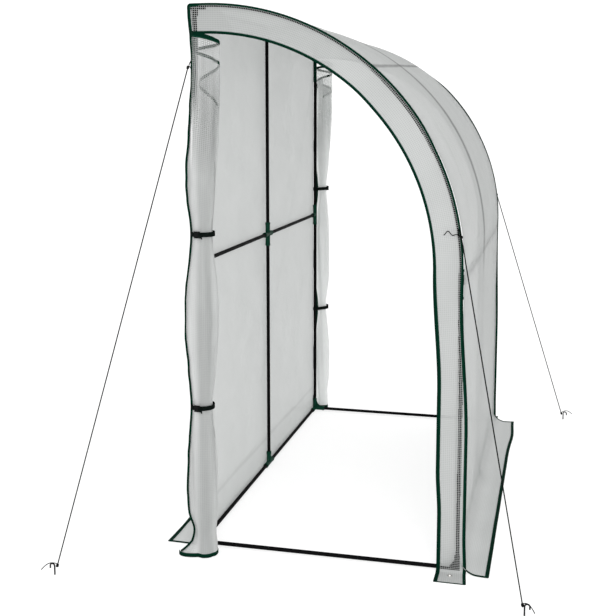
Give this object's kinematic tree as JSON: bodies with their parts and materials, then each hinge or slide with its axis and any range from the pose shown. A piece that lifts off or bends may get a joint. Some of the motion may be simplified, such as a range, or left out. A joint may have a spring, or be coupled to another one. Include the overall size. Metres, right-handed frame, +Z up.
{
  "type": "lean-to walk-in greenhouse",
  "caption": "Walk-in lean-to greenhouse: bent steel tube frame in moulded connectors, mesh-reinforced film cover, rolled-back end doors, ground skirts and guy ropes",
  "frame": {"origin": "on the ground, in the middle of the rectangle that the pegs span", "axes": "+X from the wall side to the front, +Y along the wall to the far end, +Z up"},
  "size_m": [1.912, 2.746, 2.1443],
  "materials": {
    "tube_steel": "black powder coat, satin",
    "connector_moulding": "moulded polypropylene, dark green",
    "cover_film": "translucent polyethylene film with a woven thread grid",
    "edge_binding": "woven edge tape, dark green",
    "tie_webbing": "woven tape, dark green",
    "guy_rope": "braided cord, black",
    "peg_wire": "bent wire, dark"
  },
  "bodies": {
    "root": {"near_rear_post": "tube_steel", "middle_rear_post": "tube_steel", "far_rear_post": "tube_steel", "near_front_post": "tube_steel", "middle_front_post": "tube_steel", "far_front_post": "tube_steel", "near_hoop": "tube_steel", "middle_hoop": "tube_steel", "far_hoop": "tube_steel", "rear_base_rail": "tube_steel", "front_base_rail": "tube_steel", "near_sill_rail": "tube_steel", "far_sill_rail": "tube_steel", "wall_rail": "tube_steel", "ridge_rail": "tube_steel", "eave_rail": "tube_steel", "rear_foot_connectors": "connector_moulding", "front_foot_connectors": "connector_moulding", "wall_rail_connectors": "connector_moulding", "ridge_connectors": "connector_moulding", "eave_connectors": "connector_moulding", "roof_cover": "cover_film", "rear_cover": "cover_film", "front_skirt": "cover_film", "rear_skirt": "cover_film", "near_end_strip": "cover_film", "far_end_strip": "cover_film", "near_flap": "cover_film", "far_flap": "cover_film", "near_rolled_door": "cover_film", "far_rolled_door": "cover_film", "near_doorway_binding": "edge_binding", "far_doorway_binding": "edge_binding", "near_edge_binding": "edge_binding", "far_edge_binding": "edge_binding", "skirt_bindings": "edge_binding", "near_door_ties": "tie_webbing", "far_door_ties": "tie_webbing", "guy_loops": "tie_webbing", "near_rear_guy": "guy_rope", "far_rear_guy": "guy_rope", "near_front_guy": "guy_rope", "far_front_guy": "guy_rope", "pegs": "peg_wire"}
  },
  "joints": []
}
